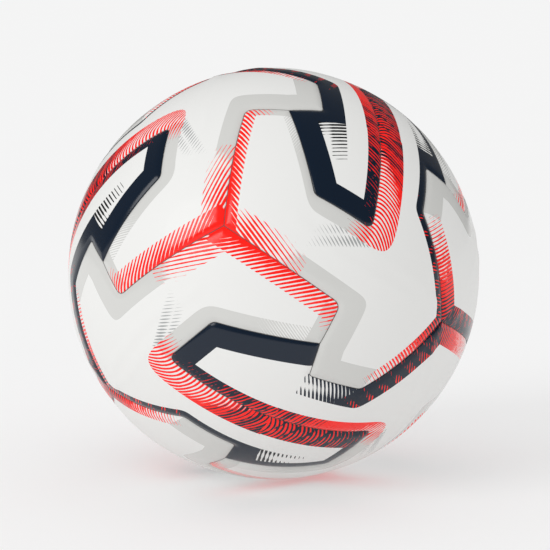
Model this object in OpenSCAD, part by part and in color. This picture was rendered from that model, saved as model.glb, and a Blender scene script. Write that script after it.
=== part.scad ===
// Thermobonded football: twelve identical wing-shaped panels on a wound carcass,
// with a butyl bladder and a needle valve. Millimetres, origin at the centre of the
// ball, +Z up, valve on +Y.

/* [Ball] */
// Outside diameter of the inflated ball
ball_d = 220; // [200:1:225]
// Width of the glued joint between two panels
seam_gap = 0.3; // [0.2:0.05:0.6]
// Width of the rolled shoulder along a panel's edge
edge_roll = 0.5; // [0.2:0.05:1]
// Depth of the rolled shoulder below the surface
edge_drop = 0.6; // [0.3:0.05:0.9]

/* [Layers] */
// Thickness of the printed polyurethane skin
skin_t = 1.4; // [1.2:0.1:2]
// Thickness of the foam behind the skin
foam_t = 3; // [2:0.1:5]
// Thickness of the rubber carcass
carcass_t = 1; // [0.6:0.1:2]
// Thickness of the thread winding
winding_t = 0.6; // [0.4:0.1:1.2]
// Wall thickness of the bladder
bladder_t = 1.2; // [0.8:0.1:2]

/* [Panel outline] */
// Rounding of an ordinary corner
corner_r = 5; // [2:0.5:6]
// Rounding of the heel corner
heel_r = 2; // [1:0.5:3]
// Rounding of the notch's second corner
toe_r = 4; // [2:0.5:9]

/* [Valve] */
// Longitude of the valve on its panel
valve_lon = -72.7; // [-76:0.1:-69]
// Latitude of the valve on its panel
valve_lat = 28.6; // [24:0.1:32]
// Turn of the whole pattern about the valve axis
pattern_spin = -145.8; // [-180:0.1:180]
// Diameter of the needle's guide hole
needle_d = 2.6; // [2.4:0.05:3]
// Diameter of the valve's head
valve_head_d = 8; // [6:0.5:10]
// Diameter of the valve's body inside the bladder
valve_body_d = 10; // [9:0.5:12]
// Depth of the valve's head below the surface of the skin
valve_sink = 0.5; // [0.2:0.1:1]
// Diameter of the valve's flange
flange_d = 20; // [16:1:24]
// Thickness of the valve's flange
flange_t = 1.3; // [1:0.1:2]
// Diameter of the patches inside the bladder
patch_d = 36; // [30:1:44]
// Thickness of the patch round the valve
patch_t = 0.6; // [0.4:0.1:1]
// Thickness of the balance patch opposite the valve
balance_t = 1.4; // [0.8:0.1:2]

/* [Hidden] */
$fn = 128;
PANELS = 12;
function two_digits(i) = str(i < 10 ? "0" : "", i);
PANEL_NAMES = [for (i = [1:PANELS]) str("panel_", two_digits(i))];
FOAM_NAMES = [for (i = [1:PANELS]) str("foam_", two_digits(i))];

// Radii of the layers, from the outside in
ball_r = ball_d / 2;
skin_in = ball_r - skin_t;
foam_in = skin_in - foam_t;
carcass_in = foam_in - carcass_t;
winding_in = carcass_in - winding_t;
bladder_in = winding_in - bladder_t;
// Film in the joints: its top below the foot of the shoulder, and the glue line inside it
bond_sink = 0.4;
bond_top = ball_r - edge_drop - bond_sink;
bond_line = 0.04;

valve_top = ball_r - valve_sink;
// The valve's body reaches below the bladder, and its lower part is bored out for the plug
body_reach = 10;
plug_h = 7;
plug_d = 5;
valve_foot = bladder_in - body_reach;
guide_foot = valve_foot + plug_h;
countersink = 0.8;
// Overshoot of a cut past the face that it opens
over = 1;

// Geometry on the unit sphere
function unit(v) = v / norm(v);
function at(lonlat) = [cos(lonlat.y) * cos(lonlat.x), cos(lonlat.y) * sin(lonlat.x), sin(lonlat.y)];
// Half a turn about the two-fold axis, and a third of a turn about the tip of the wing
function half_turn(p) = [-p.x, -p.y, p.z];
function third_turn(p) = [-p.y, -p.z, p.x];

hub = unit([1, 1, 1]);
wing_tip = unit([1, -1, 1]);
pole = [0, 0, 1];

// Longitude and latitude of the seam corners near one two-fold axis of the pattern: the outer
// corner of the arm seam, the point where three seams meet halfway along an arm, the shallow
// corner past it, the corner before the last straight run, and the two corners of the notch
elbow_at = [-1.4, 53];
fork_at = [-0.9, 64.5];
heel_at = [-7.6, 73.6];
knee_at = [-47.5, 65.4];
notch_at = [59.8, 58.3];
toe_at = [93.7, 58.4];
elbow = at(elbow_at);
fork = at(fork_at);
heel = at(heel_at);
knee = at(knee_at);
notch = at(notch_at);
toe = at(toe_at);

// One panel's corners with their roundings, anticlockwise from outside
corners = [
    [fork, 0], [notch, corner_r], [toe, toe_r], [pole, 0],
    [half_turn(toe), toe_r], [half_turn(notch), corner_r], [half_turn(fork), 0],
    [half_turn(elbow), corner_r], [half_turn(hub), 0],
    [third_turn(elbow), corner_r], [third_turn(fork), 0], [third_turn(heel), heel_r],
    [third_turn(knee), corner_r], [wing_tip, 0], [knee, corner_r], [heel, heel_r]
];
middle_lat = 69;
// Height of the wedge's outer end above the ball
clear_of_ball = 8;
panel_middle = at([-90, middle_lat]);

// Points that round corner p between its neighbours a and b by radius r
function rounded(a, p, b, r, steps = 3) =
    r == 0 ? [p] :
    let (
        to_a = unit(a - (a * p) * p),
        to_b = unit(b - (b * p) * p),
        corner_angle = acos(to_a * to_b),
        reach = r / tan(corner_angle / 2) / ball_r,
        start = unit(p + reach * to_a),
        end = unit(p + reach * to_b)
    )
    [for (s = [0:steps]) let (t = s / steps)
        unit((1 - t) * (1 - t) * start + 2 * t * (1 - t) * p + t * t * end)];

outline = [for (i = [0:len(corners) - 1])
    let (
        before = corners[(i + len(corners) - 1) % len(corners)][0],
        after = corners[(i + 1) % len(corners)][0]
    )
    each rounded(before, corners[i][0], after, corners[i][1])];

// The outline moved inwards by d along the surface
function moved_in(loop, d) = [for (i = [0:len(loop) - 1])
    let (
        count = len(loop),
        p = loop[i],
        side_a = unit(cross(loop[(i + count - 1) % count], p)),
        side_b = unit(cross(p, loop[(i + 1) % count]))
    )
    unit(p + d / ball_r / (1 + side_a * side_b) * (side_a + side_b))];

// A point's place on the plane that touches the unit sphere at the panel's middle
function on_plane(p) = [p.x, p * cross(panel_middle, [1, 0, 0])] / (p * panel_middle);

// Solid angle behind one panel, with the panel's middle on +Z. It is cut off near the ball's
// centre and outside the ball.
module wedge(inset_by) {
    near = ball_r / 2;
    far = ball_r + clear_of_ball;
    translate([0, 0, near]) linear_extrude(height = far - near, scale = far / near)
        polygon([for (p = moved_in(outline, inset_by)) on_plane(p) * near]);
}

// A sphere whose poles and seam lie clear of a panel on +Z
module side_sphere(r) {
    rotate([0, 90, 0]) sphere(r = r);
}

module panel_layer(outer_r, inner_r, inset_by) {
    difference() {
        intersection() {
            wedge(inset_by);
            side_sphere(outer_r);
        }
        side_sphere(inner_r);
    }
}

// Turns the pattern so that the valve's place on the first panel lies on +Y
module placed() {
    rotate([0, pattern_spin, 0]) rotate([-valve_lat, 0, 0]) rotate([0, 0, 90 - valve_lon]) children();
}

// Place of panel i: one of three turns about a hub, after one of four half turns
module panel_place(i) {
    half_turns = [[0, 0, 0], [180, 0, 0], [0, 180, 0], [0, 0, 180]];
    placed() rotate(a = 120 * (i % 3), v = [1, 1, 1]) rotate(half_turns[floor(i / 3)])
        rotate([90 - middle_lat, 0, 0]) children();
}

module along_valve() {
    rotate([-90, 0, 0]) children();
}

// A round hole through every layer for the valve
module valve_hole(d) {
    along_valve() translate([0, 0, valve_foot]) cylinder(d = d, h = ball_r);
}

module shell(outer_r, inner_r) {
    difference() {
        sphere(r = outer_r);
        sphere(r = inner_r);
    }
}

// A round patch of diameter d that follows the sphere, between two radii
module disc_on_sphere(d, outer_r, inner_r) {
    difference() {
        intersection() {
            sphere(r = outer_r);
            along_valve() cylinder(d = d, h = ball_r);
        }
        sphere(r = inner_r);
    }
}

// Printed polyurethane skin of panel i, with a rolled shoulder along its edge
module panel(i) {
    shoulder_r = ball_r - edge_drop;
    color("whitesmoke") difference() {
        panel_place(i) union() {
            panel_layer(ball_r, shoulder_r, seam_gap / 2 + edge_roll);
            panel_layer(shoulder_r, skin_in, seam_gap / 2);
        }
        valve_hole(valve_head_d);
    }
}

// Foam laminated to the back of panel i
module foam(i) {
    color("lightyellow") difference() {
        panel_place(i) panel_layer(skin_in, foam_in, seam_gap / 2);
        valve_hole(valve_head_d);
    }
}

// Hot-melt film on the edge of every panel, which fills the foot of the grooves
module seam_bond() {
    color("dimgray") for (i = [0:PANELS - 1]) panel_place(i) difference() {
        panel_layer(bond_top, foam_in, bond_line / 2);
        wedge(seam_gap / 2);
    }
}

// Moulded rubber carcass that the panels are glued to
module carcass() {
    color("#3a3a3c") difference() {
        shell(foam_in, carcass_in);
        valve_hole(valve_head_d);
    }
}

// Nylon thread wound round the bladder
module thread_winding() {
    color("#e6e0d0") difference() {
        shell(carcass_in, winding_in);
        valve_hole(valve_head_d);
    }
}

// Air-tight butyl bladder
module bladder() {
    color("#242426") difference() {
        shell(winding_in, bladder_in);
        valve_hole(valve_head_d);
    }
}

// Valve: head, flange and body in one moulding, with the needle's guide hole
module valve_housing() {
    flange_r = bladder_in - patch_t;
    color("#1c1c1e") difference() {
        union() {
            along_valve() translate([0, 0, valve_foot + over])
                cylinder(d = valve_head_d, h = valve_top - valve_foot - over);
            along_valve() translate([0, 0, valve_foot])
                cylinder(d = valve_body_d, h = flange_r - flange_t - valve_foot);
            disc_on_sphere(flange_d, flange_r, flange_r - flange_t);
        }
        along_valve() translate([0, 0, guide_foot]) cylinder(d = needle_d, h = ball_r);
        along_valve() translate([0, 0, valve_top - countersink])
            cylinder(d1 = needle_d, d2 = needle_d + 2 * countersink, h = countersink);
        along_valve() translate([0, 0, valve_foot - over]) cylinder(d = plug_d, h = plug_h + over);
    }
}

// Self-closing rubber plug that the needle pushes through
module valve_plug() {
    color("#8a6f4a") along_valve() translate([0, 0, valve_foot])
        cylinder(d = plug_d, h = plug_h);
}

// Patch that holds the valve to the inside of the bladder
module valve_patch() {
    color("#2c2c2f") difference() {
        disc_on_sphere(patch_d, bladder_in, bladder_in - patch_t);
        valve_hole(valve_head_d);
    }
}

// Patch opposite the valve that balances its weight
module balance_patch() {
    color("#2c2c2f") mirror([0, 1, 0]) disc_on_sphere(patch_d, bladder_in, bladder_in - balance_t);
}

for (i = [0:PANELS - 1]) {
    panel(i);
    foam(i);
}
seam_bond();
carcass();
thread_winding();
bladder();
valve_housing();
valve_plug();
valve_patch();
balance_patch();
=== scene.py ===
"""Thermobonded football: twelve printed panels, a needle valve and the layers under them."""
import math

import bpy
from mathutils import Matrix, Vector
from mathutils.geometry import intersect_point_line


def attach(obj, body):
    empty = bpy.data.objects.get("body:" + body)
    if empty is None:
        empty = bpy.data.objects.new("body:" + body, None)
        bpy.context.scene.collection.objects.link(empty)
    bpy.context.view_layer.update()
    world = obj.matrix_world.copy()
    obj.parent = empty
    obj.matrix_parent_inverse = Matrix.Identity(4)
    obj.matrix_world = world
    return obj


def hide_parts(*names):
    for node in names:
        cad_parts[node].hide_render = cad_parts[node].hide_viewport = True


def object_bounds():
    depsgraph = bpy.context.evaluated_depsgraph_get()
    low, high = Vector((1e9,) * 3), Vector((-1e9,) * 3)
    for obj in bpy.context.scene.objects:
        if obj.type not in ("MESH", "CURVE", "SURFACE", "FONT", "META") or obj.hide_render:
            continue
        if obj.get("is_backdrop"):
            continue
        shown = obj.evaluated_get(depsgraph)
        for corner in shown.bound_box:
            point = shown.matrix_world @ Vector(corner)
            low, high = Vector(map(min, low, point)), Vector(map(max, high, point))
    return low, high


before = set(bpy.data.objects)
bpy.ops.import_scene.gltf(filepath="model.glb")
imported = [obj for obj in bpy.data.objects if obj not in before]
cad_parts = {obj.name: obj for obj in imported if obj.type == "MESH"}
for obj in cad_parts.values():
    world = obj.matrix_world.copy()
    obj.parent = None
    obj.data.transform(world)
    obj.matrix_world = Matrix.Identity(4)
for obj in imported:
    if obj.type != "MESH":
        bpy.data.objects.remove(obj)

bl_info = {
    "name": "Thermobonded football",
    "version": (1, 0, 0),
    "blender": (4, 5, 0),
    "location": "3D View > Sidebar > Football",
    "description": "Builds the printed panels, the valve and the studio round the packed ball",
    "category": "Object",
}

CAD_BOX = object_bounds()
MM = 0.001
BALL_R = (CAD_BOX[1].z - CAD_BOX[0].z) / 2 / MM  # outside radius of the ball, mm
SKIN_IN = BALL_R - 1.4  # inside of the printed skin, mm
PANELS = 12
PRINT_PLACE = "print_mm"  # attribute: where a point of a panel lies on the shared print pattern

# The ball's own turn: the valve's longitude and latitude on its panel, then the spin about its axis
VALVE_LON, VALVE_LAT, PATTERN_SPIN = -72.7, 28.6, -145.8

WALL_LOOK = 0.905  # brightness of the walls as seen
WALL_SHEEN = 0.15  # brightness of the walls in reflections, as between softboxes
KEY_FROM = (-0.75, -0.62, 0.5)  # direction of the softbox from the ball
SENSOR = 36  # camera sensor width, mm
SHIFT = (0.00245455, -0.00230909)  # lens shift that frames the ball, in frame widths
FLOOR_RADIUS = 60  # m, past the camera's horizon


# ---------------------------------------------------------------- panel outline

def at(longitude, latitude):
    """Point of the unit sphere at a longitude and latitude in degrees."""
    lon, lat = math.radians(longitude), math.radians(latitude)
    return Vector((math.cos(lat) * math.cos(lon), math.cos(lat) * math.sin(lon), math.sin(lat)))


def half_turn(p):
    return Vector((-p.x, -p.y, p.z))


def third_turn(p):
    return Vector((-p.y, -p.z, p.x))


HUB, WING_TIP, POLE = Vector((1, 1, 1)).normalized(), Vector((1, -1, 1)).normalized(), Vector((0, 0, 1))
ELBOW, FORK, HEEL, KNEE = at(-1.4, 53), at(-0.9, 64.5), at(-7.6, 73.6), at(-47.5, 65.4)
NOTCH, TOE = at(59.8, 58.3), at(93.7, 58.4)
MIDDLE = at(-90, 69)  # of the panel
# A flat pattern of the panel touches the sphere at the panel's middle, with these axes
ACROSS = Vector((1, 0, 0))
UPWARD = MIDDLE.cross(ACROSS)

# Seam edges of one panel, anticlockwise from outside: name, first corner, rounding of that corner
SEAM_EDGES = (
    ("arm_side", FORK, 0.8),
    ("arm_end", NOTCH, 5),
    ("rib_in", TOE, 4),
    ("rib_out", POLE, 0),
    ("bay_end", half_turn(TOE), 4),
    ("bay_side", half_turn(NOTCH), 5),
    ("hook", half_turn(FORK), 0.8),
    ("flame", half_turn(ELBOW), 5),
    ("streak", half_turn(HUB), 0.8),
    ("fin_root", third_turn(ELBOW), 5),
    ("fin_side", third_turn(FORK), 0.8),
    ("fin_end", third_turn(HEEL), 2),
    ("ladder", third_turn(KNEE), 5),
    ("wing", WING_TIP, 0.8),
    ("neck", KNEE, 5),
    ("shelf", HEEL, 2),
)
TIGHTEST = 0.5  # smallest rounding left at an outer corner of an inner ring, mm
EDGE_INDEX = {name: i for i, (name, _, _) in enumerate(SEAM_EDGES)}
CORNERS = [corner for _, corner, _ in SEAM_EDGES]


def edge_ends(name):
    i = EDGE_INDEX[name]
    return CORNERS[i], CORNERS[(i + 1) % len(CORNERS)]


def edge_length(name):
    start, end = edge_ends(name)
    return BALL_R * start.angle(end)


def moved_in(loop, distance):
    """A loop of points on the sphere, moved inwards by a distance in mm along the surface."""
    moved = []
    for i, p in enumerate(loop):
        side_a = loop[i - 1].cross(p).normalized()
        side_b = p.cross(loop[(i + 1) % len(loop)]).normalized()
        moved.append((p + distance / BALL_R / (1 + side_a.dot(side_b)) * (side_a + side_b)).normalized())
    return moved


def rounded(before, corner, after, radius, steps):
    """Points that round a corner between its neighbours."""
    to_a = (before - before.dot(corner) * corner).normalized()
    to_b = (after - after.dot(corner) * corner).normalized()
    opening = to_a.angle(to_b)
    reach = radius / math.tan(opening / 2) / BALL_R
    start, end = (corner + reach * to_a).normalized(), (corner + reach * to_b).normalized()
    points = []
    for step in range(steps + 1):
        t = step / steps
        points.append(((1 - t) ** 2 * start + 2 * t * (1 - t) * corner + t * t * end).normalized())
    return points


def seam_loop(distance, spacing=2.2, steps=6):
    """The panel's outline at a distance in mm from the seam line, with the same count of points at any."""
    corners = moved_in(CORNERS, distance)
    turns = []
    for i, (_, corner, radius) in enumerate(SEAM_EDGES):
        before, after = CORNERS[i - 1], CORNERS[(i + 1) % len(CORNERS)]
        if radius == 0:
            turns.append([corners[i]])
            continue
        reflex = before.cross(corner).dot(after) < 0
        real = radius + distance if reflex else max(radius - distance, TIGHTEST)
        turns.append(rounded(corners[i - 1], corners[i], corners[(i + 1) % len(corners)], real, steps))
    loop = []
    for i, turn in enumerate(turns):
        loop += turn
        gap_start, gap_end = turn[-1], turns[(i + 1) % len(turns)][0]
        pieces = max(1, round(edge_length(SEAM_EDGES[i][0]) / spacing))
        loop += [gap_start.lerp(gap_end, k / pieces).normalized() for k in range(1, pieces)]
    return loop


def flat(p, height=0.0):
    """A point of the unit sphere on the flat pattern, in mm, with its height over the ball's surface."""
    scale = 2 * BALL_R / (1 + p.dot(MIDDLE))
    return Vector((p.dot(ACROSS) * scale, p.dot(UPWARD) * scale, height))


def on_ball(q):
    """The point of the unit sphere for a point of the flat pattern."""
    u, v = q.x / (2 * BALL_R), q.y / (2 * BALL_R)
    spread = u * u + v * v
    return (2 * u * ACROSS + 2 * v * UPWARD + (1 - spread) * MIDDLE) / (1 + spread)


# ---------------------------------------------------------------- mesh helpers

def start_edit(obj):
    """Leaves only this object selected, and opens it in edit mode with nothing selected."""
    if bpy.context.object and bpy.context.object.mode == "EDIT":
        bpy.ops.object.mode_set(mode="OBJECT")
    bpy.ops.object.select_all(action="DESELECT")
    obj.select_set(True)
    bpy.context.view_layer.objects.active = obj
    bpy.ops.object.mode_set(mode="EDIT")
    bpy.ops.mesh.select_all(action="DESELECT")


def end_edit():
    bpy.ops.object.mode_set(mode="OBJECT")


def select_parts(obj, verts=(), edges=(), faces=()):
    """Selects parts of a mesh by index while it is in object mode."""
    mesh = obj.data
    for group in (mesh.vertices, mesh.edges, mesh.polygons):
        group.foreach_set("select", [False] * len(group))
    for group, chosen in ((mesh.vertices, verts), (mesh.edges, edges), (mesh.polygons, faces)):
        for i in chosen:
            group[i].select = True


def largest_face(obj):
    return max(obj.data.polygons, key=lambda face: len(face.vertices))


def ring_stack(name, loops):
    """A band of rings: a circle whose points are put on the first loop, inset once for each further loop."""
    bpy.ops.object.select_all(action="DESELECT")
    bpy.ops.mesh.primitive_circle_add(vertices=len(loops[0]), radius=BALL_R, fill_type="NGON")
    band = bpy.context.object
    band.name = name
    for vertex, place in zip(band.data.vertices, loops[0]):
        vertex.co = place
    ring = list(range(len(loops[0])))
    for step, loop in enumerate(loops[1:]):
        start_edit(band)
        bpy.ops.mesh.select_mode(type="FACE")
        end_edit()
        select_parts(band, faces=[largest_face(band).index])
        bpy.ops.object.mode_set(mode="EDIT")
        bpy.ops.mesh.inset(thickness=0.001, use_even_offset=False)
        end_edit()
        inside = set(largest_face(band).vertices)
        partner = {}
        for edge in band.data.edges:
            a, b = edge.vertices
            if (a in inside) != (b in inside):
                partner[a], partner[b] = b, a
        # The inset may keep the old points on either side of the new band
        outer_ring = [partner[i] if i in inside else i for i in ring]
        ring = [i if i in inside else partner[i] for i in ring]
        for indices, places in ((outer_ring, loops[step]), (ring, loop)):
            for i, place in zip(indices, places):
                band.data.vertices[i].co = place
    select_parts(band, faces=[largest_face(band).index])
    bpy.ops.object.mode_set(mode="EDIT")
    bpy.ops.mesh.select_mode(type="FACE")
    bpy.ops.mesh.delete(type="ONLY_FACE")
    end_edit()
    return band


def inside_loop(q, loop):
    """True if a flat point lies inside a closed flat loop."""
    inside = False
    for i, a in enumerate(loop):
        b = loop[i - 1]
        if (a.y > q.y) != (b.y > q.y) and q.x < (b.x - a.x) * (q.y - a.y) / (b.y - a.y) + a.x:
            inside = not inside
    return inside


def reach_to(q, a, b):
    """Distance in mm from a flat point to the side from a to b."""
    spot, start, end = (Vector((v[0], v[1], 0)) for v in (q, a, b))
    _, t = intersect_point_line(spot, start, end)
    return (start.lerp(end, min(1, max(0, t))) - spot).length


def clear_of(q, loop, room):
    """True if a flat point is at least this far from every side of a loop."""
    for i, a in enumerate(loop):
        b = loop[i - 1]
        far = abs(a.x - q.x) > 4 * room and abs(b.x - q.x) > 4 * room
        if not far and reach_to(q, a, b) < room:
            return False
    return True


def boundary_edges(mesh, keep):
    """Indices of the edges on the rim of the mesh whose middle passes a test."""
    uses = {}
    for face in mesh.polygons:
        for key in face.edge_keys:
            uses[key] = uses.get(key, 0) + 1
    verts = mesh.vertices
    return [
        edge.index
        for edge in mesh.edges
        if uses.get(edge.key, 0) == 1 and keep((verts[edge.vertices[0]].co + verts[edge.vertices[1]].co) / 2)
    ]


def delete_verts(obj, verts):
    """Deletes points of a mesh by index."""
    start_edit(obj)
    bpy.ops.mesh.select_mode(type="VERT")
    end_edit()
    select_parts(obj, verts=verts)
    bpy.ops.object.mode_set(mode="EDIT")
    bpy.ops.mesh.delete(type="VERT")
    end_edit()


def turned_copy(source, name, turn):
    """A copy of a modelled panel with its own mesh, turned to its place on the ball and put in metres."""
    mesh = source.data.copy()
    mesh.transform(turn.to_4x4() @ Matrix.Scale(MM, 4))
    piece = bpy.data.objects.new(name, mesh)
    bpy.context.scene.collection.objects.link(piece)
    return piece


# ---------------------------------------------------------------- panel mesh

ROLL = (  # distance from the seam line and depth below the surface, mm, from the groove inwards
    (0.15, 1.05), (0.2, 0.95), (0.4, 0.81), (0.75, 0.65), (1.2, 0.48), (1.8, 0.29), (2.5, 0.12), (3.4, 0.0),
)
HOLE_ROLL = ((5.6, 0.0), (5.0, 0.04), (4.6, 0.15), (4.3, 0.35), (4.1, 0.65), (4.0, 1.0))  # radius, depth, mm
HOLE_POINTS = 48
GRID_STEP = 2.4  # mesh size of the field, mm
GRID_ROOM = 1.1  # room left between the field's grid and its border, mm
VALVE = at(VALVE_LON, VALVE_LAT)
CREASES = (  # soft folds pressed into the field: their points on the flat pattern, mm
    ((-36, -30), (-6, -41), (40, -44), (68, -32)),
    ((-24, -24), (8, -32), (44, -33), (72, -40)),
)
CREASE_HALF, CREASE_HIGH = 4.0, 0.35  # half width and height of a fold, mm
SHARP_FROM = 55  # edges of the panels that turn by more degrees stay sharp


def crease_height(q):
    """Height of the soft pressed folds that run along the white field of the panel, mm."""
    height = 0.0
    for points in CREASES:
        nearest = min(reach_to(q, start, end) for start, end in zip(points, points[1:]))
        height += CREASE_HIGH * (1 - min(1, nearest / CREASE_HALF) ** 2) ** 2
    return height


def hole_rings():
    """Flat rings from the field down into the valve's hole."""
    side = VALVE.cross(Vector((0, 0, 1))).normalized()
    up = VALVE.cross(side)
    turns = [2 * math.pi * k / HOLE_POINTS for k in range(HOLE_POINTS)]
    return [
        [
            flat((VALVE + radius / BALL_R * (math.cos(t) * side + math.sin(t) * up)).normalized(), -depth)
            for t in turns
        ]
        for radius, depth in HOLE_ROLL
    ]


def field_grid(field_edge, hole_edge):
    """An even grid that fills the field as far as its borders let it."""
    low = Vector((min(q.x for q in field_edge), min(q.y for q in field_edge)))
    high = Vector((max(q.x for q in field_edge), max(q.y for q in field_edge)))
    size = high - low
    bpy.ops.object.select_all(action="DESELECT")
    bpy.ops.mesh.primitive_grid_add(
        x_subdivisions=round(size.x / GRID_STEP), y_subdivisions=round(size.y / GRID_STEP), size=1,
        location=((low.x + high.x) / 2, (low.y + high.y) / 2, 0),
    )
    grid = bpy.context.object
    bpy.ops.transform.resize(value=(size.x, size.y, 1))
    bpy.ops.object.transform_apply(location=True, scale=True)
    outside = []
    for vertex in grid.data.vertices:
        q = vertex.co
        kept = inside_loop(q, field_edge) and clear_of(q, field_edge, GRID_ROOM)
        if kept and hole_edge:
            kept = not inside_loop(q, hole_edge) and clear_of(q, hole_edge, GRID_ROOM)
        if not kept:
            outside.append(vertex.index)
    delete_verts(grid, outside)
    loose = set(range(len(grid.data.vertices)))
    for face in grid.data.polygons:
        loose -= set(face.vertices)
    delete_verts(grid, sorted(loose))
    return grid


def flat_panel(with_hole):
    """One panel on its flat pattern: rolled rim, filled field and, where the valve sits, a round hole."""
    loops = [[flat(p, -depth) for p in seam_loop(distance)] for distance, depth in ROLL]
    rings = hole_rings() if with_hole else []
    rim = ring_stack("rim", loops)
    parts = [rim]
    if rings:
        parts.append(ring_stack("valve_rim", rings))
    parts.append(field_grid(loops[-1], rings[0] if rings else None))
    bpy.ops.object.select_all(action="DESELECT")
    for part in parts:
        part.select_set(True)
    bpy.context.view_layer.objects.active = rim
    bpy.ops.object.join()

    def facing_field(middle):
        at_rim = not inside_loop(middle, loops[-2])
        at_hole = rings and inside_loop(middle, rings[1])
        return not at_rim and not at_hole

    chosen = boundary_edges(rim.data, facing_field)
    bpy.ops.object.mode_set(mode="EDIT")
    bpy.ops.mesh.select_mode(type="EDGE")
    end_edit()
    select_parts(rim, edges=chosen)
    bpy.ops.object.mode_set(mode="EDIT")
    bpy.ops.mesh.fill(use_beauty=True)
    bpy.ops.mesh.select_all(action="SELECT")
    bpy.ops.mesh.normals_make_consistent(inside=False)
    end_edit()
    return rim


def wrapped_panel(name, with_hole):
    """The flat panel, given its thickness and wrapped on the ball in the pattern's own place, in mm."""
    panel = flat_panel(with_hole)
    panel.name = name
    count = len(panel.data.vertices)
    start_edit(panel)
    bpy.ops.mesh.select_all(action="SELECT")
    bpy.ops.mesh.extrude_region()
    end_edit()
    mesh = panel.data
    if len(mesh.vertices) != 2 * count:
        raise RuntimeError("the panel's wall was not made")
    places = []
    for vertex in mesh.vertices:
        p = on_ball(vertex.co)
        places.append(p * BALL_R)
        outer = vertex.index >= count
        vertex.co = p * (BALL_R + vertex.co.z + crease_height(vertex.co) if outer else SKIN_IN)
    start_edit(panel)
    bpy.ops.mesh.select_all(action="SELECT")
    bpy.ops.mesh.normals_make_consistent(inside=False)
    end_edit()
    spot = mesh.attributes.new(PRINT_PLACE, "FLOAT_VECTOR", "POINT")
    spot.data.foreach_set("vector", [value for place in places for value in place])
    bpy.ops.object.shade_smooth_by_angle(angle=math.radians(SHARP_FROM))
    return panel


def panel_turn(i):
    """Turn of panel i: one of four half turns, one of three turns about a hub, then the ball's own turn."""
    about = ((1, 0, 0), (1, 0, 0), (0, 1, 0), (0, 0, 1))
    half = Matrix.Rotation(math.pi if i // 3 else 0, 3, Vector(about[i // 3]))
    third = Matrix.Rotation(math.radians(120) * (i % 3), 3, Vector((1, 1, 1)))
    placed = (
        Matrix.Rotation(math.radians(PATTERN_SPIN), 3, "Y")
        @ Matrix.Rotation(math.radians(-VALVE_LAT), 3, "X")
        @ Matrix.Rotation(math.radians(90 - VALVE_LON), 3, "Z")
    )
    return placed @ third @ half


# ---------------------------------------------------------------- materials

def linear(hex_colour):
    """Linear colour of an sRGB hex value."""
    channels = [int(hex_colour[i:i + 2], 16) / 255 for i in (1, 3, 5)]
    return tuple(c / 12.92 if c <= 0.04045 else ((c + 0.055) / 1.055) ** 2.4 for c in channels)


def add(tree, kind, *values, out=0, **settings):
    """Adds one node. The values go to its inputs in order: a socket is linked, None is left alone."""
    made = tree.nodes.new(kind)
    for name, value in settings.items():
        setattr(made, name, value)
    for socket, value in zip(made.inputs, values):
        if isinstance(value, bpy.types.NodeSocket):
            tree.links.new(value, socket)
        elif value is not None:
            socket.default_value = value
    return made.outputs[out]


def new_material(name):
    """A node material with its shader and output, ready for its colour and bump."""
    material = bpy.data.materials.new(name)
    material.use_nodes = True
    tree = material.node_tree
    return material, tree, tree.nodes["Principled BSDF"]


# Widths of the ribbons beside each seam edge, mm; gaps_from is how far from the pole the outer rib opens
BOLD = dict(
    arm_side=12.2, arm_end=11, rib_in=7.8, rib_out=8, bay_end=8.8, bay_side=8, hook=8, flame=10.5,
    fin=13, ladder=11, wing=10.5, neck=11.3, shelf=10, gaps_from=38, arm="block")
SLIM = dict(
    BOLD, arm_side=8, arm_end=8, rib_in=13, rib_out=13.5, ladder=7.5, wing=5.8, neck=6, shelf=13, gaps_from=5)
PRINT_STYLES = {
    "bold_open": dict(BOLD, arm="open"),
    "bold_block": BOLD,
    "slim_block": SLIM,
    "slim_narrow": dict(SLIM, bay_side=4.5, hook=6, flame=6.5, ladder=6.5),
}
PANEL_STYLE = {  # the rest are slim_block
    2: "bold_block", 4: "slim_narrow", 5: "bold_block", 7: "bold_block", 10: "slim_narrow", 12: "bold_open",
}
# Stripes of each part of the print: pitch in mm along the seam, and lean in mm along for each mm inward
WEAVE, TRAIL, HATCH = (1.7, 1.0), (2.2, -0.95), (2.2, -0.14)
RIB_FAN, CLUMP, FLAME, STREAK = (2.3, -0.2), (8.6, -0.6), (2.85, -1.05), (5.9, 2.75)
RUNG, WING_DASH, WING_CLUMP, NECK_FADE = (1.9, 0.12), (1.8, -0.4), (8.7, 0.3), (2.25, 0.5)
RIB_CLUMP = (9.0, -0.6)
RIB_BEND, FAN_BEND = -0.045, -0.032  # how the stripes of the wide ribs curve, per mm
OUTER_RIB_END = 8.8  # width of the red round the bay's corner, mm
STREAK_END = 9.5  # width of the grey where the streaks end, mm
EMBOSS_STEP = 0.55  # from grain to grain of the release film, mm
WAVE_BANDS = 3.1  # bands of a wave texture per unit of its scale


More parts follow.
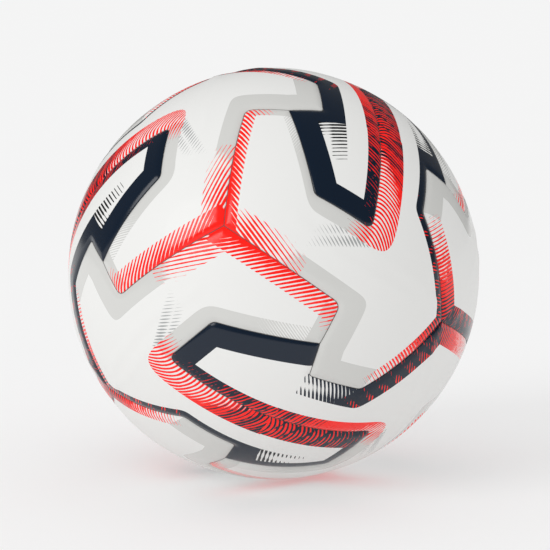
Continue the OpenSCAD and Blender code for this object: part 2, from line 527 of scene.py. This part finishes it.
class PrintPattern:
    """Draws the ink pattern of one panel as masks in a material, in mm from the seam edges."""

    def __init__(self, tree, style):
        self.tree = tree
        self.style = style
        self.place = add(tree, "ShaderNodeAttribute", out=1, attribute_name=PRINT_PLACE)
        self.known = {}
        grain = add(tree, "ShaderNodeTexNoise", self.place, None, 0.3, 1.0, 0.5, noise_dimensions="3D")
        self.grain = add(tree, "ShaderNodeMath", grain, 0.5, operation="SUBTRACT")

    def axis(self, key, direction, start):
        """Distance of the surface point along a direction, counted from a start value."""
        if key not in self.known:
            reach = add(
                self.tree, "ShaderNodeVectorMath", self.place, tuple(direction), out=1,
                operation="DOT_PRODUCT")
            if start:
                reach = add(self.tree, "ShaderNodeMath", reach, start, operation="SUBTRACT")
            self.known[key] = reach
        return self.known[key]

    def inward(self, name):
        """Distance from a seam edge towards the panel's middle."""
        start, end = edge_ends(name)
        return self.axis(("in", name), start.cross(end).normalized(), 0)

    def along(self, name):
        """Distance along a seam edge from its first corner."""
        start, end = edge_ends(name)
        middle = (start + end).normalized()
        forward = start.cross(end).normalized().cross(middle)
        return self.axis(("on", name), forward, BALL_R * start.dot(forward))

    def sum_of(self, a, b, factor=1.0):
        """a plus b times a factor."""
        return add(self.tree, "ShaderNodeMath", b, factor, a, operation="MULTIPLY_ADD")

    def ramp(self, value, start, end, low=0.0, high=1.0):
        """Goes from low at start to high at end, and stays there."""
        return add(self.tree, "ShaderNodeMapRange", value, start, end, low, high, clamp=True)

    def both(self, *masks):
        """Where every mask is on."""
        result = masks[0]
        for mask in masks[1:]:
            result = add(self.tree, "ShaderNodeMath", result, mask, operation="MINIMUM")
        return result

    def either(self, *masks):
        """Where any mask is on."""
        result = masks[0]
        for mask in masks[1:]:
            result = add(self.tree, "ShaderNodeMath", result, mask, operation="MAXIMUM")
        return result

    def product(self, *values):
        result = values[0]
        for value in values[1:]:
            result = add(self.tree, "ShaderNodeMath", result, value, operation="MULTIPLY")
        return result

    def without(self, mask, cut):
        """A mask with another taken away."""
        left = add(self.tree, "ShaderNodeMath", mask, cut, operation="SUBTRACT")
        return add(self.tree, "ShaderNodeMath", left, 0.0, operation="MAXIMUM")

    def between(self, value, low, high):
        """On where a value lies between two others."""
        middle, reach = (low + high) / 2, (high - low) / 2
        return add(self.tree, "ShaderNodeMath", value, middle, reach, operation="COMPARE")

    def strip(self, name, start, end, width, low=-1.0):
        """The band beside a seam edge, from one distance along it to another."""
        return self.both(
            self.between(self.inward(name), low, width), self.between(self.along(name), start, end))

    def wrapped(self, before, after, width_before, width_after, rounding):
        """On inside the outer border of the bands at a corner that they wrap round."""
        a = add(self.tree, "ShaderNodeMath", self.inward(before), width_before, operation="SUBTRACT")
        b = add(self.tree, "ShaderNodeMath", self.inward(after), width_after, operation="SUBTRACT")
        border = add(self.tree, "ShaderNodeMath", a, b, rounding, operation="SMOOTH_MAX")
        return add(self.tree, "ShaderNodeMath", border, 0.0, operation="LESS_THAN")

    def cut(self, name, width_before, width_after, later):
        """One side of the mitre between the bands that meet at the first corner of an edge."""
        i = EDGE_INDEX[name]
        corner, before, after = CORNERS[i], CORNERS[i - 1], CORNERS[(i + 1) % len(CORNERS)]
        a, b = before.cross(corner).normalized(), corner.cross(after).normalized()
        share = a.dot(b)
        meeting = (
            (width_before - share * width_after) * a + (width_after - share * width_before) * b
        ) / (1 - share * share) if abs(share) < 0.99 else a + b
        side = corner.cross(meeting).normalized()
        if side.dot(after - corner) < 0:
            side = -side
        value = self.axis(("cut", name), side, 0)
        test = "GREATER_THAN" if later else "LESS_THAN"
        return add(self.tree, "ShaderNodeMath", value, 0.0, operation=test)

    def hump(self, value, middle, half_width):
        """1 at the middle of a lens, 0 at its ends and beyond."""
        off = add(self.tree, "ShaderNodeMath", value, middle, operation="SUBTRACT")
        part = add(self.tree, "ShaderNodeMath", off, half_width, operation="DIVIDE")
        square = add(self.tree, "ShaderNodeMath", part, part, operation="MULTIPLY")
        left = add(self.tree, "ShaderNodeMath", 1.0, square, operation="SUBTRACT")
        return add(self.tree, "ShaderNodeMath", left, 0.0, operation="MAXIMUM")

    def stripes(self, along, inward, kind, share, shift=0.0, ragged=0.5):
        """Slanted stripes of a kind: share of ink from 0 to 1, shift in pitches, ragged for rough ends."""
        pitch, lean = kind
        slanted = add(self.tree, "ShaderNodeMath", inward, lean, along, operation="MULTIPLY_ADD")
        turns = add(self.tree, "ShaderNodeMath", slanted, 1 / pitch, shift, operation="MULTIPLY_ADD")
        saw = add(self.tree, "ShaderNodeMath", turns, operation="FRACT")
        off = add(self.tree, "ShaderNodeMath", saw, 0.5, operation="SUBTRACT")
        off = add(self.tree, "ShaderNodeMath", off, operation="ABSOLUTE")
        rough = add(self.tree, "ShaderNodeMath", self.grain, ragged, share, operation="MULTIPLY_ADD")
        half = add(self.tree, "ShaderNodeMath", rough, 0.5, operation="MULTIPLY")
        return add(self.tree, "ShaderNodeMath", off, half, operation="LESS_THAN")

    # -- the inks

    def grey_ink(self):
        """Pale grey ribbons opposite the dark ones."""
        w = self.style
        bay_corner = self.wrapped("bay_end", "bay_side", w["bay_end"], w["bay_side"], 8)
        on, off = self.along("bay_side"), self.inward("bay_side")
        weave = self.stripes(on, off, WEAVE, self.ramp(on, 16, 42, 1.2, 0.4), ragged=0.3)
        bay = self.either(
            self.strip("bay_end", 0, edge_length("bay_end") + 12, w["bay_end"]),
            self.both(self.strip("bay_side", -12, edge_length("bay_side") + 2, w["bay_side"]), weave))
        hook = self.strip("hook", -2, edge_length("hook") - 2, w["hook"])
        fin_corner = self.wrapped("streak", "fin_root", STREAK_END, w["fin"], 9)
        on, off = self.along("streak"), self.inward("streak")
        closing = self.ramp(self.sum_of(on, off, -0.8), 27, 38, 0.0, 1.4)
        streak_end = self.both(
            self.strip("streak", 20, edge_length("streak") + 14, STREAK_END),
            self.stripes(on, off, STREAK, closing))
        root = self.strip("fin_root", -14, edge_length("fin_root") + 2, w["fin"])
        side = self.strip("fin_side", -2, edge_length("fin_side") + 2, w["fin"])
        end = self.both(
            self.strip("fin_end", -2, edge_length("fin_end") + 8, w["fin"]),
            self.cut("ladder", w["fin"], w["ladder"], False))
        fin = self.both(self.either(streak_end, root), fin_corner)
        return self.either(self.both(bay, bay_corner), hook, fin, side, end)

    def dark_grey_ink(self):
        """Two rows of fine dashes that trail away from the bay's corner."""
        w = self.style
        trailing = self.sum_of(self.inward("bay_end"), self.along("bay_end"), -0.6)
        rows = self.either(
            self.hump(trailing, w["bay_end"] - 1.2, 3.6), self.hump(trailing, w["bay_end"] - 8.0, 3.2))
        fading = self.product(rows, self.ramp(self.along("bay_end"), 6, 26, 0.6, 0.0))
        return self.both(
            self.stripes(self.along("rib_out"), self.inward("rib_out"), TRAIL, fading, ragged=0.0),
            self.strip("bay_end", -9, 26, w["bay_end"] + 18, low=w["bay_end"]))

    def inner_rib(self):
        """Navy and red of the dark rib, whose red stripes grow towards the pole."""
        width = self.style["rib_in"]
        on, off = self.along("rib_in"), self.inward("rib_in")
        rib = self.strip("rib_in", -2, edge_length("rib_in"), width)
        wide = width > 10
        bent = self.sum_of(on, self.product(off, off), RIB_BEND if wide else 0.0)
        if wide:
            grown = self.sum_of(self.ramp(on, 9, 30, 0.12, 0.42), self.ramp(on, 44, 61, 0.0, 0.2))
        else:
            grown = self.sum_of(self.ramp(on, 14, 60, 0.02, 0.56), self.ramp(off, 2, 8, 0.06, -0.08))
        clumps = self.stripes(on, off, CLUMP, self.ramp(on, 12, 56, 0.55, 0.92), ragged=0.5)
        stripe = (2.3, 0.5 if wide else -0.7)
        streaks = self.stripes(bent, off, stripe, self.product(grown, clumps))
        return self.without(rib, streaks), self.both(rib, streaks)

    def outer_rib(self):
        """Navy and red of the red rib: dark streaks by the pole, white gaps that grow to the bay's corner."""
        w = self.style
        on, off = self.along("rib_out"), self.inward("rib_out")
        length = edge_length("rib_out") + OUTER_RIB_END + 2
        corner = self.wrapped("rib_out", "bay_end", w["rib_out"], OUTER_RIB_END, 22)
        side, end = self.strip("rib_out", 0, length, w["rib_out"]), self.strip("bay_end", -16, 14, OUTER_RIB_END)
        rib = self.both(self.either(side, end), corner)
        outwards = self.ramp(off, 0, 30, 0, 30)
        fanned = self.sum_of(on, self.product(outwards, outwards), FAN_BEND)
        fanned = self.sum_of(fanned, self.product(self.ramp(on, 48, 72, 0.0, 0.6), off), -1.0)
        near_pole = self.sum_of(on, off, -0.9)
        clumps = self.stripes(on, off, RIB_CLUMP, 0.45, ragged=0.4)
        darkened = self.sum_of(self.ramp(near_pole, -8, 24, 0.52, 0.05), clumps, 0.42)
        darkened = self.product(darkened, self.ramp(near_pole, 16, 24, 1.0, 0.0))
        dark = self.stripes(fanned, off, RIB_FAN, darkened, ragged=0.3)
        opened = self.sum_of(on, off, -1.7)
        opened = self.ramp(opened, w["gaps_from"], w["gaps_from"] + 20, 1.15, 0.54)
        inked = self.sum_of(opened, self.ramp(off, 5, 13, 0.0, 0.22))
        kept = self.either(self.ramp(self.along("bay_end"), 3, 12, 1.0, 0.0), self.ramp(on, 40, 50, 1.0, 0.0))
        inked = self.product(inked, kept)
        stripes = self.stripes(fanned, off, RIB_FAN, inked, ragged=0.35)
        return self.both(rib, dark), self.without(self.both(rib, stripes), dark)

    def hub_flames(self):
        """Red stripes from the elbow, closing at the hub, with their start on the hook."""
        width, length, hook = self.style["flame"], edge_length("flame"), edge_length("hook")
        on, off = self.along("flame"), self.inward("flame")
        share = self.sum_of(
            self.ramp(on, 0, 42, 0.56, 0.68), self.ramp(on, length - 18, length - 2, 0.0, 0.1))
        closed = self.product(self.ramp(on, 12, 50, 0.0, 1.0), self.ramp(off, 0.5, 5, 0.4, 0.0))
        tapered = self.sum_of(self.sum_of(share, closed), self.ramp(off, width * 0.5, width + 1, 0.04, -0.3))
        flame = self.both(
            self.strip("flame", -2, length + 2, width), self.stripes(on, off, FLAME, tapered, ragged=0.3))
        fade = self.ramp(self.along("hook"), hook - 15, hook - 2, 0.0, 0.55)
        start = self.both(
            self.strip("hook", hook - 16, hook + 2, 6.0), self.stripes(on, off, FLAME, fade, ragged=0.3))
        return self.either(flame, start)

    def hub_streaks(self):
        """Red streaks on the other side of the hub, at a shallow angle to the seam."""
        on, off = self.along("streak"), self.inward("streak")
        share = self.sum_of(self.ramp(on, 8, 42, 0.76, 0.2), self.ramp(on, 0, 12, -0.5, 0.0))
        tapered = self.sum_of(share, self.ramp(off, 5, 12, 0.0, -0.35))
        return self.both(
            self.strip("streak", -2, 44, 12.5), self.stripes(on, off, STREAK, tapered, ragged=0.3))

    def wing_ladder(self):
        """Navy and red of the ladder up to the wing's tip, which goes from white to red to dark."""
        w = self.style
        on, off = self.along("ladder"), self.inward("ladder")
        band = self.both(
            self.strip("ladder", 3, edge_length("ladder") + 8, w["ladder"]),
            self.cut("wing", w["ladder"], w["wing"], False))
        share = self.sum_of(self.ramp(on, 4, 14, 0.05, 0.42), self.ramp(on, 16, 38, 0.0, 0.5))
        rungs = self.stripes(on, off, RUNG, share, ragged=0.45)
        darkened = self.ramp(on, 32, 54, 0.0, 0.62)
        dark = self.both(band, self.stripes(on, off, RUNG, darkened, shift=0.5))
        return dark, self.without(self.both(band, rungs), dark)

    def dark_wing(self, knee):
        """Navy and red of the dark wing, with clusters of red dashes on its inner side."""
        w = self.style
        on, off = self.along("wing"), self.inward("wing")
        band = self.both(
            self.strip("wing", -2, edge_length("wing") + 12, w["wing"]), knee,
            self.cut("wing", w["ladder"], w["wing"], True))
        clusters = self.stripes(on, off, WING_CLUMP, self.ramp(on, 2, 56, 0.8, 0.3), ragged=0.6)
        inner = self.ramp(off, w["wing"] * 0.3, w["wing"] * 0.7, 0.0, 0.36)
        dashes = self.both(band, clusters, self.stripes(on, off, WING_DASH, inner, ragged=0.9))
        return self.without(band, dashes), dashes

    def dark_arm(self, knee):
        """Neck and shelf of the arm: a solid block, or a neck that breaks up into hatching."""
        w = self.style
        reach = edge_length("neck") + (2 if w["arm"] == "open" else 14)
        neck = self.both(self.strip("neck", -12, reach, w["neck"]), knee)
        if w["arm"] == "block":
            shelf_corner = self.wrapped("neck", "shelf", w["neck"], w["shelf"], 0.5)
            shelf = self.strip("shelf", -w["neck"] - 2, edge_length("shelf") + 2, w["shelf"])
            return self.both(self.either(neck, shelf), shelf_corner)
        on, off = self.along("neck"), self.inward("neck")
        seam_side = self.product(
            self.ramp(on, 3, 18, 0.12, 0.56), self.hump(off, 3.6, self.ramp(on, 3, 18, 2.4, 6.5)))
        field_side = self.product(self.ramp(on, 12, 24, 0.0, 0.52), self.hump(off, 10.5, 6.0))
        middle = self.product(self.ramp(on, 18, 29, 0.0, 0.6), self.hump(off, 5.8, 2.8))
        white = self.sum_of(self.either(seam_side, field_side), middle)
        fade = self.either(self.ramp(on, 26, 35, 0.6, 0.1), self.ramp(on, 24, 26, 1.0, 0.0))
        share = self.both(self.sum_of(1.02, white, -1.0), fade)
        return self.both(neck, self.stripes(on, off, NECK_FADE, share, ragged=0.2))

    def navy_and_red_ink(self):
        """Dark ribbons, the ladders between dark and red, and the red flames at the hub."""
        w = self.style
        knee = self.wrapped("wing", "neck", w["wing"], w["neck"], 4)
        navy = [self.strip(name, -2, edge_length(name) + 2, w[name]) for name in ("arm_side", "arm_end")]
        navy.append(self.dark_arm(knee))
        red = [self.hub_flames(), self.hub_streaks()]
        for dark, bright in (self.inner_rib(), self.outer_rib(), self.wing_ladder(), self.dark_wing(knee)):
            navy.append(dark)
            red.append(bright)
        return self.either(*navy), self.either(*red)

    def black_ink(self):
        """Hatching on the arm, past the dark block, that shrinks away along the arm."""
        w = self.style
        rise, across, left = self.inward("shelf"), self.along("shelf"), self.inward("neck")
        past_arm = add(
            self.tree, "ShaderNodeMath", self.inward("arm_side"), w["arm_side"], operation="GREATER_THAN")
        beyond = add(self.tree, "ShaderNodeMath", rise, w["shelf"], operation="SUBTRACT")
        white = self.product(self.ramp(beyond, 0, 12, 0.15, 0.6), self.hump(left, 0.5, 3.2))
        fade = self.ramp(beyond, 4, 25, 0.64, 0.08)
        share = self.sum_of(fade, white, -1.0)
        return self.both(
            self.strip("shelf", -w["neck"] - 14, 30, w["shelf"] + 24, low=w["shelf"]),
            self.between(left, -14, w["neck"]),
            past_arm,
            self.stripes(rise, across, HATCH, share, ragged=0.2))


def printed_skin(style_name, colours):
    """Polyurethane skin, cast on an embossed release film and printed before bonding: satin, with a fine
    leather-like grain that only breaks up the highlights, and inks glossier than the bare white."""
    material, tree, shader = new_material("printed_polyurethane_" + style_name)
    pattern = PrintPattern(tree, PRINT_STYLES[style_name])
    navy, red = pattern.navy_and_red_ink()
    coats = [
        (pattern.grey_ink(), colours.grey), (pattern.dark_grey_ink(), colours.dark_grey),
        (navy, colours.navy), (red, colours.red),
    ]
    if pattern.style["arm"] == "block":
        coats.append((pattern.black_ink(), colours.black))
    colour = (*colours.white, 1)
    for mask, ink in coats:
        colour = add(
            tree, "ShaderNodeMix", mask, None, None, None, None, None,
            colour, (*ink, 1), out=2, data_type="RGBA")
    tree.links.new(colour, shader.inputs["Base Color"])
    printed = pattern.either(*[mask for mask, _ in coats])
    tree.links.new(pattern.ramp(printed, 0, 1, 0.5, 0.2), shader.inputs["Roughness"])
    shader.inputs["IOR"].default_value = 1.5
    shader.inputs["Specular IOR Level"].default_value = 0.4
    shader.inputs["Coat Weight"].default_value = 0.1
    shader.inputs["Coat Roughness"].default_value = 0.1
    grain = add(tree, "ShaderNodeTexVoronoi", pattern.place, None, 1 / EMBOSS_STEP, feature="SMOOTH_F1")
    bump = add(tree, "ShaderNodeBump", 0.05, 0.2 * MM, None, grain)
    tree.links.new(bump, shader.inputs["Normal"])
    return material


def plain_layer(name, hex_low, hex_high, grain_mm, roughness, depth_mm):
    """A solid layer whose colour drifts between two shades over a grain, with a matching bump."""
    material, tree, shader = new_material(name)
    place = add(tree, "ShaderNodeTexCoord", out=3)
    noise = add(tree, "ShaderNodeTexNoise", place, None, 1 / (grain_mm * MM), 3.0)
    colour = add(
        tree, "ShaderNodeMix", noise, None, None, None, None, None,
        (*linear(hex_low), 1), (*linear(hex_high), 1), out=2, data_type="RGBA")
    tree.links.new(colour, shader.inputs["Base Color"])
    shader.inputs["Roughness"].default_value = roughness
    bump = add(tree, "ShaderNodeBump", 0.3, depth_mm * MM, None, noise)
    tree.links.new(bump, shader.inputs["Normal"])
    return material


def wound_thread():
    """Nylon yarn wound at random round the bladder and set in latex: fine crossing threads, 0.9 mm apart,
    waxy white, with darker latex in the gaps."""
    material, tree, shader = new_material("nylon_winding")
    place = add(tree, "ShaderNodeTexCoord", out=3)
    threads = None
    for turn in ((0.3, 0.5, 0.1), (1.2, -0.4, 0.9), (-0.7, 1.1, 2.0)):
        turned = add(tree, "ShaderNodeMapping", place, None, turn)
        scale = 1 / (0.9 * MM) / WAVE_BANDS
        wave = add(tree, "ShaderNodeTexWave", turned, scale, 1.5, 2.0, wave_type="BANDS", out=1)
        threads = wave if threads is None else add(tree, "ShaderNodeMath", threads, wave, operation="MAXIMUM")
    colour = add(
        tree, "ShaderNodeMix", threads, None, None, None, None, None,
        (*linear("#A79C84"), 1), (*linear("#EFEADB"), 1), out=2, data_type="RGBA")
    tree.links.new(colour, shader.inputs["Base Color"])
    shader.inputs["Roughness"].default_value = 0.55
    bump = add(tree, "ShaderNodeBump", 0.6, 0.2 * MM, None, threads)
    tree.links.new(bump, shader.inputs["Normal"])
    return material


# ---------------------------------------------------------------- user settings

class FootballColours(bpy.types.PropertyGroup):
    """Inks and stage colours."""

    white: bpy.props.FloatVectorProperty(
        name="White", description="Bare skin of the panels", subtype="COLOR", default=linear("#E7E7E5"))
    grey: bpy.props.FloatVectorProperty(
        name="Grey", description="Pale ribbons", subtype="COLOR", default=linear("#CFCFCC"))
    dark_grey: bpy.props.FloatVectorProperty(
        name="Dark grey", description="Trailing dashes", subtype="COLOR", default=linear("#A0A2A2"))
    navy: bpy.props.FloatVectorProperty(
        name="Navy", description="Dark ribbons", subtype="COLOR", default=linear("#06182A"))
    red: bpy.props.FloatVectorProperty(
        name="Red", description="Ladders and flames", subtype="COLOR", default=linear("#FF180C"))
    black: bpy.props.FloatVectorProperty(
        name="Black", description="Hatching on the arms", subtype="COLOR", default=linear("#101214"))
    floor: bpy.props.FloatVectorProperty(
        name="Floor", description="Studio floor", subtype="COLOR", default=linear("#CACACA"))


class FootballStudio(bpy.types.PropertyGroup):
    """Camera and light."""

    distance: bpy.props.FloatProperty(
        name="Camera distance", description="From the ball's centre", unit="LENGTH", default=1.1578)
    elevation: bpy.props.FloatProperty(
        name="Camera elevation", description="Above the horizon", subtype="ANGLE", default=math.radians(8))
    lens: bpy.props.FloatProperty(
        name="Lens", description="Focal length in mm", subtype="DISTANCE_CAMERA", default=140.9)
    key_light: bpy.props.FloatProperty(
        name="Softbox", description="Strength of the large soft light at the left", default=0.85)
    key_spread: bpy.props.FloatProperty(
        name="Softbox spread", description="Angle that the softbox fills", subtype="ANGLE",
        default=math.radians(32))
    room_light: bpy.props.FloatProperty(
        name="Room light", description="Strength of the even light all round", subtype="FACTOR", default=0.86)
    floor_glow: bpy.props.FloatProperty(
        name="Floor glow", description="Light of the floor's own", subtype="FACTOR", default=0.33)


# ---------------------------------------------------------------- operators

class FOOTBALL_OT_panels(bpy.types.Operator):
    """Models one printed panel and puts its twelve copies on the ball"""

    bl_idname = "football.panels"
    bl_label = "Printed panels"

    def execute(self, context):
        colours = context.scene.football_colours
        plain = wrapped_panel("plain_panel", False)
        pierced = wrapped_panel("pierced_panel", True)
        skins = {}
        for i in range(PANELS):
            number = i + 1
            style = PANEL_STYLE.get(number, "slim_block")
            if style not in skins:
                skins[style] = printed_skin(style, colours)
            piece = turned_copy(pierced if number == 1 else plain, f"panel_skin_{number:02d}", panel_turn(i))
            piece.data.materials.append(skins[style])
            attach(piece, "root")
            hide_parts(f"panel_{number:02d}")
        for model in (plain, pierced):
            bpy.data.objects.remove(model)
        return {"FINISHED"}


class FOOTBALL_OT_valve(bpy.types.Operator):
    """Turns the rubber valve housing with its lip and needle hole"""

    bl_idname = "football.valve"
    bl_label = "Valve"

    def execute(self, context):
        top, foot, guide = BALL_R - 0.5, BALL_R - 17.2, BALL_R - 10.2
        flange_r, flange_t = BALL_R - 7.8, 1.3
        outer = [(r, math.sqrt(flange_r ** 2 - r * r)) for r in (4.0, 7.0, 9.6, 10.0)]
        inner = [(r, math.sqrt((flange_r - flange_t) ** 2 - r * r)) for r in (10.0, 9.6, 7.0, 5.0)]
        # Radius and height: up the needle hole, over the lip, round the flange and under the foot
        profile = [
            (1.3, guide), (1.3, top - 0.8), (1.5, top - 0.45), (1.9, top - 0.15), (2.3, top - 0.02),
            (2.6, top - 0.05), (2.8, top - 0.2), (3.1, top - 0.2), (3.3, top - 0.03), (3.6, top),
            (3.85, top - 0.1), (3.98, top - 0.3), *outer, *inner, (5.0, foot + 0.4), (4.6, foot),
            (2.5, foot), (2.5, guide),
        ]
        bpy.ops.object.select_all(action="DESELECT")
        bpy.ops.mesh.primitive_circle_add(vertices=len(profile), fill_type="NOTHING")
        housing = context.object
        housing.name = "valve_moulding"
        for vertex, (radius, height) in zip(housing.data.vertices, profile):
            vertex.co = Vector((radius, height, 0)) * MM
        start_edit(housing)
        bpy.ops.mesh.select_all(action="SELECT")
        bpy.ops.mesh.spin(steps=64, angle=2 * math.pi, center=(0, 0, 0), axis=(0, 1, 0))
        bpy.ops.mesh.select_all(action="SELECT")
        bpy.ops.mesh.remove_doubles(threshold=0.00001)
        bpy.ops.mesh.normals_make_consistent(inside=False)
        end_edit()
        bpy.ops.object.shade_smooth_by_angle(angle=math.radians(40))
        # Butyl rubber, moulded: dull black with a faint bloom
        housing.data.materials.append(
            plain_layer("moulded_butyl_valve", "#151517", "#232326", 0.8, 0.5, 0.02))
        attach(housing, "root")
        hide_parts("valve_housing")
        return {"FINISHED"}


class FOOTBALL_OT_inner_layers(bpy.types.Operator):
    """Gives the layers under the skin their materials"""

    bl_idname = "football.inner_layers"
    bl_label = "Layers under the skin"

    def execute(self, context):
        finishes = {
            # Waxy; its mid-grey is partly the film's own tint and partly painted shade that makes the seam lines
            # dark, as the shade in their grooves would
            "seam_bond": plain_layer("hot_melt_film_and_seam_shade", "#4E4B4A", "#62605E", 0.5, 0.45, 0.02),
            # Chalky black
            "carcass": plain_layer("natural_rubber_carcass", "#2B2B2D", "#3D3D40", 1.2, 0.6, 0.05),
            "thread_winding": wound_thread(),
            # Smooth and slightly shiny
            "bladder": plain_layer("butyl_bladder", "#1B1B1D", "#29292C", 2.0, 0.4, 0.03),
            # Amber and soft
            "valve_plug": plain_layer("natural_rubber_plug", "#7A5C38", "#9A7B50", 0.7, 0.6, 0.03),
            # Dull black sheet
            "valve_patch": plain_layer("butyl_patch", "#202022", "#303034", 1.0, 0.5, 0.03),
            "balance_patch": plain_layer("butyl_counterweight", "#202022", "#303034", 1.0, 0.5, 0.03),
        }
        # Spongy and off-white
        foam = plain_layer("closed_cell_foam", "#D9CDA6", "#F0E8CC", 0.6, 0.85, 0.05)
        for i in range(1, PANELS + 1):
            finishes[f"foam_{i:02d}"] = foam
        for name, finish in finishes.items():
            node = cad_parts[name]
            if not node.material_slots:
                node.data.materials.append(None)
            for place in node.material_slots:
                place.material = finish
        return {"FINISHED"}


class FOOTBALL_OT_stage(bpy.types.Operator):
    """Sets the floor, the soft studio light and the camera"""

    bl_idname = "football.stage"
    bl_label = "Studio"

    def execute(self, context):
        scene, studio = context.scene, context.scene.football_studio
        scene.view_settings.view_transform = "Standard"
        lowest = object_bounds()[0].z
        bpy.ops.object.select_all(action="DESELECT")
        bpy.ops.mesh.primitive_circle_add(
            vertices=96, radius=FLOOR_RADIUS, fill_type="NGON", location=(0, 0, lowest))
        floor = context.object
        floor.name = "studio_floor"
        # Opal acrylic sheet lit from below: fully matt, with no reflection and pale shadows
        material, tree, shader = new_material("opal_acrylic_floor")
        place = add(tree, "ShaderNodeTexCoord", out=3)
        mottle = add(tree, "ShaderNodeTexNoise", place, None, 4.0, 2.0)
        shade = add(
            tree, "ShaderNodeMix", mottle, None, None, None, None, None,
            (*[c * 0.99 for c in scene.football_colours.floor], 1), (*scene.football_colours.floor, 1),
            out=2, data_type="RGBA")
        tree.links.new(shade, shader.inputs["Base Color"])
        shader.inputs["Roughness"].default_value = 0.3
        shader.inputs["Specular IOR Level"].default_value = 0.0
        shader.inputs["Emission Color"].default_value = (1, 1, 1, 1)
        shader.inputs["Emission Strength"].default_value = studio.floor_glow
        floor.data.materials.append(material)
        floor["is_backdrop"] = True

        world = bpy.data.worlds.new("soft_room")
        scene.world = world
        world.use_nodes = True
        sky = world.node_tree.nodes["Background"]
        sky.inputs["Color"].default_value = (1, 1, 1, 1)
        # The walls look as bright as the floor, light the ball a little less, and reflect far darker
        soft = add(world.node_tree, "ShaderNodeLightPath", out="Is Diffuse Ray")
        seen = soft.node.outputs["Is Camera Ray"]
        felt = add(world.node_tree, "ShaderNodeMapRange", soft, 0.0, 1.0, WALL_SHEEN, studio.room_light)
        walls = add(world.node_tree, "ShaderNodeMapRange", seen, 0.0, 1.0, felt, WALL_LOOK)
        world.node_tree.links.new(walls, sky.inputs["Strength"])

        data = bpy.data.lights.new("softbox", "SUN")
        data.energy, data.angle = studio.key_light, studio.key_spread
        key = bpy.data.objects.new("softbox", data)
        key.rotation_mode = "QUATERNION"
        key.rotation_quaternion = (-Vector(KEY_FROM)).to_track_quat("-Z", "Y")
        scene.collection.objects.link(key)

        data = bpy.data.cameras.new("camera")
        camera = bpy.data.objects.new("camera", data)
        scene.collection.objects.link(camera)
        data.sensor_width, data.lens = SENSOR, studio.lens
        data.shift_x, data.shift_y = SHIFT
        back = Vector((0, -math.cos(studio.elevation), math.sin(studio.elevation)))
        camera.location = back * studio.distance
        camera.rotation_mode = "QUATERNION"
        camera.rotation_quaternion = (-back).to_track_quat("-Z", "Y")
        scene.camera = camera
        return {"FINISHED"}


class FOOTBALL_PT_maker(bpy.types.Panel):
    """Lists the steps and settings of the ball"""

    bl_label = "Football"
    bl_space_type = "VIEW_3D"
    bl_region_type = "UI"
    bl_category = "Football"

    def draw(self, context):
        for step in STEPS:
            self.layout.operator(step.bl_idname)
        for settings in (context.scene.football_colours, context.scene.football_studio):
            for name in settings.__annotations__:
                self.layout.prop(settings, name)


STEPS = (FOOTBALL_OT_panels, FOOTBALL_OT_valve, FOOTBALL_OT_inner_layers, FOOTBALL_OT_stage)
CLASSES = (FootballColours, FootballStudio, *STEPS, FOOTBALL_PT_maker)


def register():
    for cls in CLASSES:
        bpy.utils.register_class(cls)
    bpy.types.Scene.football_colours = bpy.props.PointerProperty(type=FootballColours)
    bpy.types.Scene.football_studio = bpy.props.PointerProperty(type=FootballStudio)


def unregister():
    del bpy.types.Scene.football_studio
    del bpy.types.Scene.football_colours
    for cls in reversed(CLASSES):
        bpy.utils.unregister_class(cls)


def main():
    register()
    bpy.ops.football.panels()
    bpy.ops.football.valve()
    bpy.ops.football.inner_layers()
    bpy.ops.football.stage()


if __name__ == "__main__":
    main()
